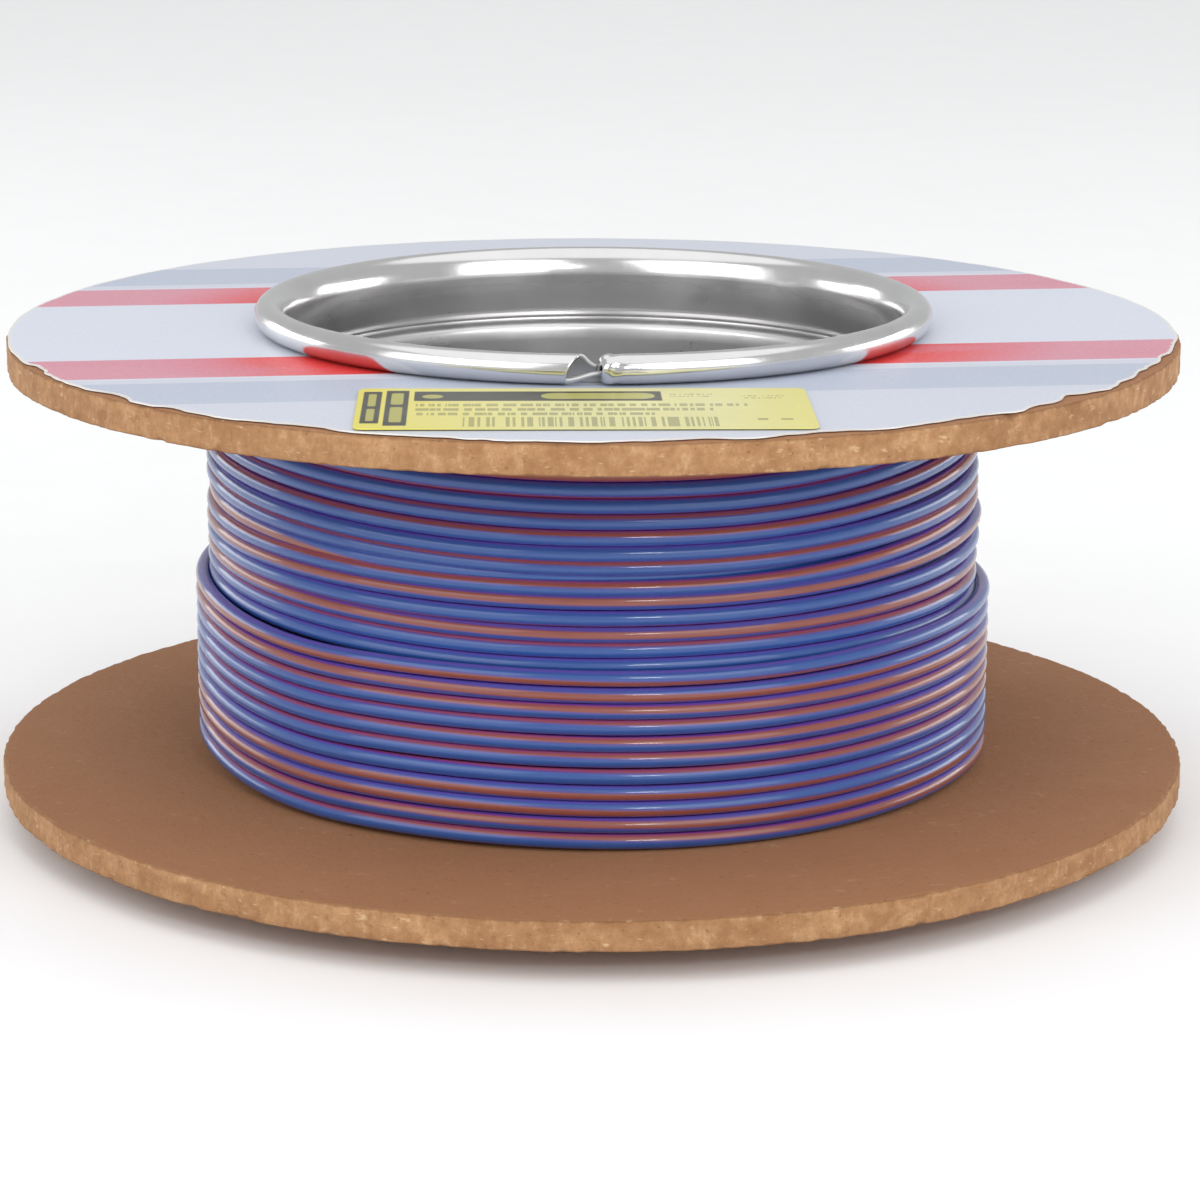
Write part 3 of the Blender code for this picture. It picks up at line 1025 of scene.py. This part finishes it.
def label_material():
    """Yellow label with generic unreadable marks, placed in millimetres from its middle, and a painted glare
    that pales the yellow around its middle.
    """
    nodes = Nodes("label")
    u, v, _ = nodes.split(nodes.uv("label"))

    def inside(left, right, low, high, rounding=0.0):
        """Mask of a rectangle in millimetres, with round corners if rounding is given."""
        beside = nodes.math("ABSOLUTE", nodes.math("SUBTRACT", u, (left + right) / 2))
        above = nodes.math("ABSOLUTE", nodes.math("SUBTRACT", v, (low + high) / 2))
        beside = nodes.math("MAXIMUM", nodes.math("SUBTRACT", beside, (right - left) / 2 - rounding), 0.0)
        above = nodes.math("MAXIMUM", nodes.math("SUBTRACT", above, (high - low) / 2 - rounding), 0.0)
        return nodes.remap(nodes.length(beside, above), rounding + 0.12, rounding - 0.12)

    def marks(left, right, low, high, step, share, seed):
        """Mask of dashes of random lengths in a rectangle, fewer where the share is higher."""
        strokes = nodes.noise(nodes.join(nodes.math("MULTIPLY", u, 1.0 / step), seed), 1.0, 1.0)
        inked = nodes.math("GREATER_THAN", strokes, share)
        return nodes.math("MULTIPLY", inside(left, right, low, high), inked)

    ink = srgb(36, 36, 34)
    print_grey = srgb(62, 61, 52)
    olive = srgb(172, 168, 88)
    paper_noise = nodes.noise(nodes.place(), 700.0, 3.0)
    gloss_noise = nodes.noise(nodes.place(), 40.0, 3.0)
    # Painted glare: the yellow is washed out around the middle of the label and full towards its ends
    painted_glare_middle = nodes.remap(nodes.math("ABSOLUTE", nodes.math("SUBTRACT", u, 12.0)), 18.0, 62.0)
    plain = nodes.mix(painted_glare_middle, srgb(214, 209, 152), srgb(218, 206, 80))
    colour = nodes.mix(nodes.remap(paper_noise, 0.3, 0.7, 0.0, 0.3), plain, srgb(224, 218, 132))
    frames = [
        inside(-50.2, -46.0, -17.8, 19.4, 0.4),
        inside(-45.0, -39.8, -20.4, 20.6, 0.4),
        inside(-38.6, 18.0, 8.2, 19.6, 0.4),
    ]
    for mask in frames:
        colour = nodes.mix(mask, colour, print_grey)
    centres = [
        inside(-49.0, -47.2, 2.0, 16.5, 0.6),
        inside(-49.0, -47.2, -15.0, -1.0, 0.6),
        inside(-43.8, -41.0, 4.0, 17.5, 0.8),
        inside(-43.8, -41.0, -16.5, 1.0, 0.8),
        inside(-36.8, -32.0, 11.2, 15.8, 2.3),
        inside(-9.6, 16.4, 10.4, 17.6, 3.4),
    ]
    for mask in centres:
        colour = nodes.mix(mask, colour, olive)
    print_rows = [
        marks(-38.0, 37.0, 1.8, 4.8, 1.3, 0.48, 3.0),
        marks(-38.0, 29.0, -3.4, -0.4, 1.5, 0.46, 8.0),
        marks(-38.0, 16.0, -8.6, -5.6, 1.3, 0.48, 15.0),
        marks(-28.0, 30.0, -21.5, -10.8, 1.3, 0.5, 23.0),
        marks(20.0, 30.0, 15.4, 16.4, 0.9, 0.5, 31.0),
        marks(20.0, 29.0, 12.8, 13.8, 0.9, 0.5, 37.0),
        marks(36.0, 46.0, 13.4, 14.4, 0.9, 0.5, 41.0),
        marks(36.0, 45.0, 10.8, 11.8, 0.9, 0.5, 43.0),
        inside(38.4, 40.6, -14.6, -12.4),
        inside(43.6, 46.2, -14.4, -12.6),
    ]
    for mask in print_rows:
        colour = nodes.mix(nodes.math("MULTIPLY", mask, 0.9), colour, ink)
    return nodes.finish(
        Base_Color=colour,
        Roughness=nodes.remap(gloss_noise, 0.3, 0.7, 0.3, 0.42),
        Specular_IOR_Level=0.3,
        Normal=nodes.bump(gloss_noise, 0.12, 0.0008),
    )


def make_label():
    """Rectangular label with rounded corners, flat on the paper."""
    centre = (label_low + label_high) / 2
    outline = []
    for right, up, start in ((1, 1, 0), (-1, 1, 90), (-1, -1, 180), (1, -1, 270)):
        for step in range(CORNER_STEPS + 1):
            angle = math.radians(start + 90 * step / CORNER_STEPS)
            outline.append((
                right * (LABEL_WIDTH / 2 - LABEL_CORNER) + LABEL_CORNER * math.cos(angle),
                up * (LABEL_DEPTH / 2 - LABEL_CORNER) + LABEL_CORNER * math.sin(angle),
            ))
    count = len(outline)
    turn = Matrix.Rotation(LABEL_TURN, 3, "Z")
    verts = []
    for height in (label_low.z, label_high.z):
        for x, y in outline:
            spot = turn @ Vector((x, y, 0.0))
            verts.append((centre.x + spot.x, centre.y + spot.y, height))
    faces = [tuple(reversed(range(count))), tuple(range(count, 2 * count))]
    for place in range(count):
        after = (place + 1) % count
        faces.append((place, after, count + after, count + place))
    uv = []
    for face in faces:
        for corner in face:
            x, y = outline[corner % count]
            uv.append((x / MM, y / MM))
    label = new_piece("yellow_label", verts, faces, [label_material()], ["paper_label"],
                      {"label": uv})
    label.data.set_sharp_from_angle(angle=SHARP_ANGLE)


# Stage, light and camera

def make_stage():
    """Pale floor."""
    bpy.ops.mesh.primitive_plane_add(size=FLOOR_SIZE, location=(0.0, 0.0, 0.0))
    floor = bpy.context.object
    floor.name = "floor"
    nodes = Nodes("pale_floor")
    grain = nodes.noise(nodes.place(), 30.0, 2.0)
    tint = nodes.mix(grain, (0.92, 0.92, 0.92, 1.0), (0.95, 0.95, 0.95, 1.0))
    floor.data.materials.append(nodes.finish(Base_Color=tint, Roughness=0.7))


def add_softbox(name, place, size, power):
    """Rectangular soft light that faces the spool."""
    data = bpy.data.lights.new(name, "AREA")
    data.shape = "RECTANGLE"
    data.size, data.size_y = size
    data.energy = power
    light = bpy.data.objects.new(name, data)
    light.location = place
    light.rotation_euler = (Vector(LIGHT_TARGET) - Vector(place)).to_track_quat("-Z", "Y").to_euler()
    bpy.context.scene.collection.objects.link(light)


def make_lights():
    """Soft studio light from the front, the sides and above, on a pale surround."""
    world = bpy.data.worlds.new("studio")
    world.use_nodes = True
    background = world.node_tree.nodes["Background"]
    background.inputs["Color"].default_value = (0.98, 0.99, 1.0, 1.0)
    background.inputs["Strength"].default_value = SURROUND_STRENGTH
    bpy.context.scene.world = world
    for name, place, size, power in SOFTBOXES:
        add_softbox(name, place, size, power)
    overhead = bpy.data.lights.new("overhead", "SUN")
    overhead.angle = OVERHEAD_SPREAD
    overhead.energy = OVERHEAD_STRENGTH
    bpy.context.scene.collection.objects.link(bpy.data.objects.new("overhead", overhead))


def make_camera():
    """Camera at the photograph's viewing angle."""
    data = bpy.data.cameras.new("camera")
    data.sensor_width = SENSOR_WIDTH
    data.lens = CAMERA_LENS
    data.clip_start = 0.05
    camera = bpy.data.objects.new("camera", data)
    camera.location = CAMERA_PLACE
    forward = Vector(CAMERA_DIRECTION)
    roll = Quaternion(forward.normalized(), CAMERA_ROLL)
    camera.rotation_mode = "QUATERNION"
    camera.rotation_quaternion = roll @ forward.to_track_quat("-Z", "Y")
    bpy.context.scene.collection.objects.link(camera)
    bpy.context.scene.camera = camera


def set_view():
    """Plain colour rendering."""
    settings = bpy.context.scene.view_settings
    settings.view_transform = "Standard"
    settings.look = "None"
    settings.exposure = 0.0
    settings.gamma = 1.0


make_stage()
make_lights()
make_camera()
set_view()
make_winding()
make_tube()
fibreboard = board_material()
make_board("lower_board", lower_board_low, lower_board_high, LOWER_BOARD_SEED, ["bottom_flange"], fibreboard)
make_board("upper_board", upper_board_low, upper_board_high, UPPER_BOARD_SEED, ["top_flange"], fibreboard)
make_paper()
make_label()
